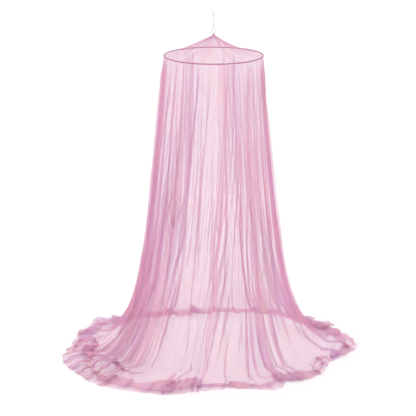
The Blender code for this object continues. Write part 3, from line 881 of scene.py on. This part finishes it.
def skirtNet():
    points, fullerLow = skirtPoints()
    uv, toEdge = clothMap(points)
    made = stands(gridPiece("skirtNet", points, pinkNet, uv=uv), "wall_net")
    pointValues(made, "toEdge", toEdge)
    pointValues(made, "fullerLow", fullerLow)


skirtNet()
print("skirt made")


roof = {
    "rise": 0.121, "hollow": 1.38, "sag": 0.3, "tip": 0.0088, "overHoop": 0.0043,
    "mainGathers": 14, "mainDepth": 0.0024, "swells": 3, "swell": 0.35,
    # the fine gathers: their strength, how it changes and fades, and how their lines wobble
    "fineGathers": 58, "fineDepth": 0.0014, "overlap": 1.9,
    "usual": 0.55, "amounts": (0.1, 1.7), "unequal": 11, "hoopFade": 0.04, "tipFade": 0.02,
    "wobble": 50, "wobbles": (24, 0.8),
    # pleats from the tip to the hoop: turn, width at the hoop, strength
    "pleats": ((25, 0.007, 3.4), (31, 0.005, 3.0), (318, 0.006, 2.4), (205, 0.008, 2.4),
               (118, 0.007, 2.4)),
    "pleatAtTip": 0.25, "pleatTall": 0.0022, "pleatFade": 0.1,
    "columns": 1160, "rows": 44, "rowPower": 1.3,
}


def roofNet():
    r = roof
    share = np.linspace(0, 1, r["rows"])[:, None] ** r["rowPower"]
    reach = r["tip"] + (hoopRadius - r["tip"]) * share
    turn = roundTurns(r["columns"])
    uv = np.stack(np.broadcast_arrays(np.radians(turn) * hoopRadius, reach), axis=-1)
    hollow = r["hollow"] + r["sag"] * np.maximum(0, np.sin(np.radians(turn)))
    z = hoopZ + r["overHoop"] + r["rise"] * (1 - reach / hoopRadius) ** hollow
    bulge = np.sin(np.pi * np.clip(reach / hoopRadius, 0, 1))
    bulge = bulge * (1 + r["swell"] * np.sin(np.radians(r["swells"] * turn)))
    z = z + r["mainDepth"] * bulge * np.cos(np.radians(r["mainGathers"] * turn))
    wide, down = r["wobbles"]
    wobble = r["wobble"] * ripple(turn / wide, share * down, seed=4.4)
    phase = np.radians(r["fineGathers"] * turn + wobble)
    near = np.clip(1 - reach / hoopRadius, 0, 1)
    amount = r["usual"] + near + ripple(turn / r["unequal"], share, seed=6.1)
    amount = np.clip(amount, *r["amounts"]) * softStep(near / r["hoopFade"])
    z = z + r["fineDepth"] * amount * np.cos(phase) * softStep(share / r["tipFade"])
    shift = amount * r["overlap"] * reach / (2 * r["fineGathers"]) * np.sin(2 * phase)
    for pleatTurn, width, strength in r["pleats"]:
        off = np.radians(turnsApart(turn, pleatTurn)) * reach
        half = width * (r["pleatAtTip"] + (1 - r["pleatAtTip"]) * share)
        hill = np.exp(-(off / half) ** 2)
        shift = shift - strength * off * hill
        z = z - r["pleatTall"] * (off / half) * hill * softStep(share / r["pleatFade"])
    points = placed(turn + np.degrees(shift / reach), reach, z)
    made = gridPiece("roofNet", points, pinkNet, closedRound=True, uv=uv)
    stands(made, "roof_net")
    pointValues(made, "toEdge", np.ones(points.shape[:2]))
    pointValues(made, "fullerLow", np.zeros(points.shape[:2]))


roofNet()
print("roof made")


casingLook = {
    "light": (0.62, 0.23, 0.39), "dark": (0.46, 0.15, 0.29), "grain": 160.0,
    "fibres": 2600.0, "fibreBump": 0.5,
    # the holes between the threads get painted shade: the dark colour times holeShade
    "pitch": 0.0011, "thread": 0.42, "holeShade": 0.72,
}
knobLook = {
    "light": (0.74, 0.40, 0.54), "dark": (0.60, 0.29, 0.43), "grain": 420.0,
    "fibres": 2600.0, "fibreBump": 0.5,
}
threadLook = {
    "light": (0.84, 0.45, 0.60), "dark": (0.70, 0.33, 0.50), "grain": 900.0,
    "fibres": 5200.0, "fibreBump": 0.3,
}
plasticLook = {
    "light": (0.84, 0.82, 0.80), "dark": (0.76, 0.74, 0.72), "grain": 30.0,
    "fibres": 700.0, "fibreBump": 0.04,
}
casingCloth = fabricMaterial("casingCloth", casingLook, roughness=0.8)


def closeNet(made, look):
    # painted shade in the holes between the threads of a close net
    tree = made.node_tree
    colour = tree.nodes["Principled BSDF"].inputs["Base Color"]
    hole = tuple(look["holeShade"] * value for value in look["dark"])
    threads = netThreads(tree, look["pitch"], look["thread"])
    feed(tree, colour, blendColours(tree, threads, hole, colour.links[0].from_socket))


closeNet(casingCloth, casingLook)
knobCloth = fabricMaterial("knobCloth", knobLook, roughness=0.8)
sewingThread = fabricMaterial("sewingThread", threadLook, roughness=0.6)
hoopPlastic = fabricMaterial("hoopPlastic", plasticLook, roughness=0.4)

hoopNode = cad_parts["hoop"]
hoopNode.data.materials.clear()
hoopNode.data.materials.append(hoopPlastic)

casing = {
    "radius": 0.0037, "slit": 9.0,      # degrees each side of straight down
    # the shirring: how much is left away from the seam, where it grows, how unequal it is
    "puckers": 310, "pucker": 0.00042, "leftAway": 0.35, "growsFrom": (0.55, 0.4),
    "usual": 0.75, "unequalBy": 0.5, "unequal": (3.1, 160),
    "columns": 1240, "rows": 16,
    "flat": (1.98, 0.0225),             # metres
    "stitchRows": (-52.0, 118.0), "stitchStep": 0.0030, "stitchLength": 0.0021,
    "stitchThread": 0.00030, "stitchEnd": 0.5, "stitchBow": 0.00025, "stitchSides": 5,
}


def onCasing(turn, section, away):
    # points round the hoop rod: section is 0 outwards and 90 up, away is off the rod's line
    turn, section, away = np.broadcast_arrays(turn, np.radians(section), away)
    return placed(turn, hoopRadius + away * np.cos(section), hoopZ + away * np.sin(section))


def casingSleeve():
    # the strip of cloth folded round the hoop, shirred where it is sewn to the net
    c = casing
    turn = roundTurns(c["columns"])
    section = np.linspace(270 - c["slit"], -90 + c["slit"], c["rows"])[:, None]
    toSeam = np.abs(section - 90) / 180
    pull = c["leftAway"] + (1 - c["leftAway"]) * fadeIn(toSeam, c["growsFrom"])
    wide, tall = c["unequal"]
    uneven = c["usual"] + c["unequalBy"] * ripple(turn / wide, section / tall, seed=5.2)
    away = c["radius"] + c["pucker"] * pull * uneven * np.cos(np.radians(c["puckers"] * turn))
    uv = np.stack(np.broadcast_arrays(np.radians(turn) * hoopRadius,
                                      np.radians(section) * c["radius"]), axis=-1)
    points = onCasing(turn, section, away)
    made = gridPiece("casingSleeve", points, casingCloth, closedRound=True, uv=uv)
    return stands(made, "hoop_casing")


def casingStitches():
    # rows of small stitches round the sleeve
    c = casing
    strands = []
    count = int(2 * np.pi * hoopRadius / c["stitchStep"])
    half = np.degrees(c["stitchLength"] / 2 / hoopRadius)
    along = np.linspace(-1, 1, 4)
    lift = c["radius"] + c["stitchBow"] * (1 - along ** 2)
    thick = c["stitchThread"] * np.array((c["stitchEnd"], 1, 1, c["stitchEnd"]))
    for section in c["stitchRows"]:
        for k in range(count):
            turn = 360 * k / count + half * along
            path = onCasing(turn, section, lift)
            out = path - onCasing(turn, section, 0.0)
            strands.append(ringsAlong(path, out, thick, c["stitchSides"], False))
    made = strandPiece("casingStitches", strands, sewingThread, False)
    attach(made, "root")
    return made


sleeve = casingSleeve()
casingStitches()
print("casing made")

tip = {
    # height over the roof's tip, radius
    "profile": ((-0.0100, 0.0052), (-0.0050, 0.0070), (-0.0008, 0.0077), (0.0011, 0.0081),
                (0.0022, 0.0072), (0.0036, 0.0074), (0.0055, 0.0076), (0.0080, 0.0066),
                (0.0103, 0.0050), (0.0120, 0.0036), (0.0135, 0.0026), (0.0150, 0.0019),
                (0.0157, 0.0004)),
    "drawn": 0.0022,        # how far its point stands up round the loop
    "pleats": 17, "pleat": 0.09, "columns": 170, "rows": 44,
    "swing": 14, "swings": (60, 90),    # degrees, and how the pleats wander
    "lumps": (25, 300), "lump": 0.02,
    # the bound neck: height, half height, and how much of the pleats it presses flat
    "neck": 0.0024, "neckHalf": 0.0012, "pressed": 0.6,
    "wraps": 4, "thread": 0.00045, "wrapLow": 0.0013, "wrapHigh": 0.0036, "wrapRadius": 0.0079,
    "stepsInWrap": 40, "threadSides": 8,
}


def boundTip():
    # the roof's cloth drawn together into a small head, with thread wound round its neck
    t = tip
    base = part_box("apex_binding")[1].z + t["drawn"] - t["profile"][-1][0]
    height = np.linspace(t["profile"][-1][0], t["profile"][0][0], t["rows"])[:, None]
    turn = roundTurns(t["columns"])
    wide, down = t["swings"]
    swing = t["swing"] * ripple(turn / wide, height * down, seed=3.3)
    flat = t["pressed"] * np.exp(-((height - t["neck"]) / t["neckHalf"]) ** 2)
    fold = (1 - np.cos(np.radians(t["pleats"] * turn) + np.radians(swing))) / 2
    radius = smoothCurve(t["profile"], height) * (1 - t["pleat"] * (1 - flat) * fold)
    wide, down = t["lumps"]
    radius = radius * (1 + t["lump"] * ripple(turn / wide, height * down, seed=8.1))
    head = gridPiece("boundTip", placed(turn, radius, base + height), knobCloth, closedRound=True)
    share = np.linspace(0, 1, t["stepsInWrap"] * t["wraps"])
    around = 360 * t["wraps"] * share
    wound = base + t["wrapLow"] + (t["wrapHigh"] - t["wrapLow"]) * share
    rings = ringsAlong(placed(around, t["wrapRadius"], wound), placed(around, 1.0, 0 * share),
                       t["thread"], t["threadSides"], False)
    thread = strandPiece("tipThread", [rings], sewingThread, False)
    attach(thread, "root")
    stands(head, "apex_binding")


boundTip()
print("bound tip made")

studio = {
    "floorColour": (0.59, 0.59, 0.59), "floorSize": 40,
    "floorGlow": 0.40,      # a white table lit from below
    "worldStrength": 1.04,
    # place, size, watts
    "lamps": (((-3.4, -3.6, -0.6), 2.0, 30), ((3.8, -2.4, -0.9), 2.0, 12),
              ((0.6, 4.2, -0.8), 2.0, 8)),
    "layersSeen": 96,       # through how many layers of net light passes
}


def studioLight():
    world = bpy.data.worlds.new("studio")
    bpy.context.scene.world = world
    world.use_nodes = True
    back = world.node_tree.nodes["Background"]
    back.inputs["Color"].default_value = (1, 1, 1, 1)
    back.inputs["Strength"].default_value = studio["worldStrength"]
    for k, (spot, size, watts) in enumerate(studio["lamps"]):
        data = bpy.data.lights.new(f"softbox{k + 1}", "AREA")
        data.size = size
        data.energy = watts
        lamp = newObject(data.name, data)
        lamp.location = spot
        aim = Vector((0, 0, floorZ / 2)) - Vector(spot)
        lamp.rotation_euler = aim.to_track_quat("-Z", "Y").to_euler()
    bpy.ops.mesh.primitive_plane_add(size=studio["floorSize"], location=(0, 0, floorZ))
    floor = bpy.context.object
    floor.name = "floor"
    paint, _, shader = newMaterial("floorPaint", roughness=0.9, specular=0.1)
    shader.inputs["Base Color"].default_value = (*studio["floorColour"], 1)
    shader.inputs["Emission Color"].default_value = (1, 1, 1, 1)
    shader.inputs["Emission Strength"].default_value = studio["floorGlow"]
    floor.data.materials.append(paint)
    bpy.context.scene.view_settings.view_transform = "Standard"
    bpy.context.scene.cycles.transparent_max_bounces = studio["layersSeen"]


studioLight()
print("studio ready")
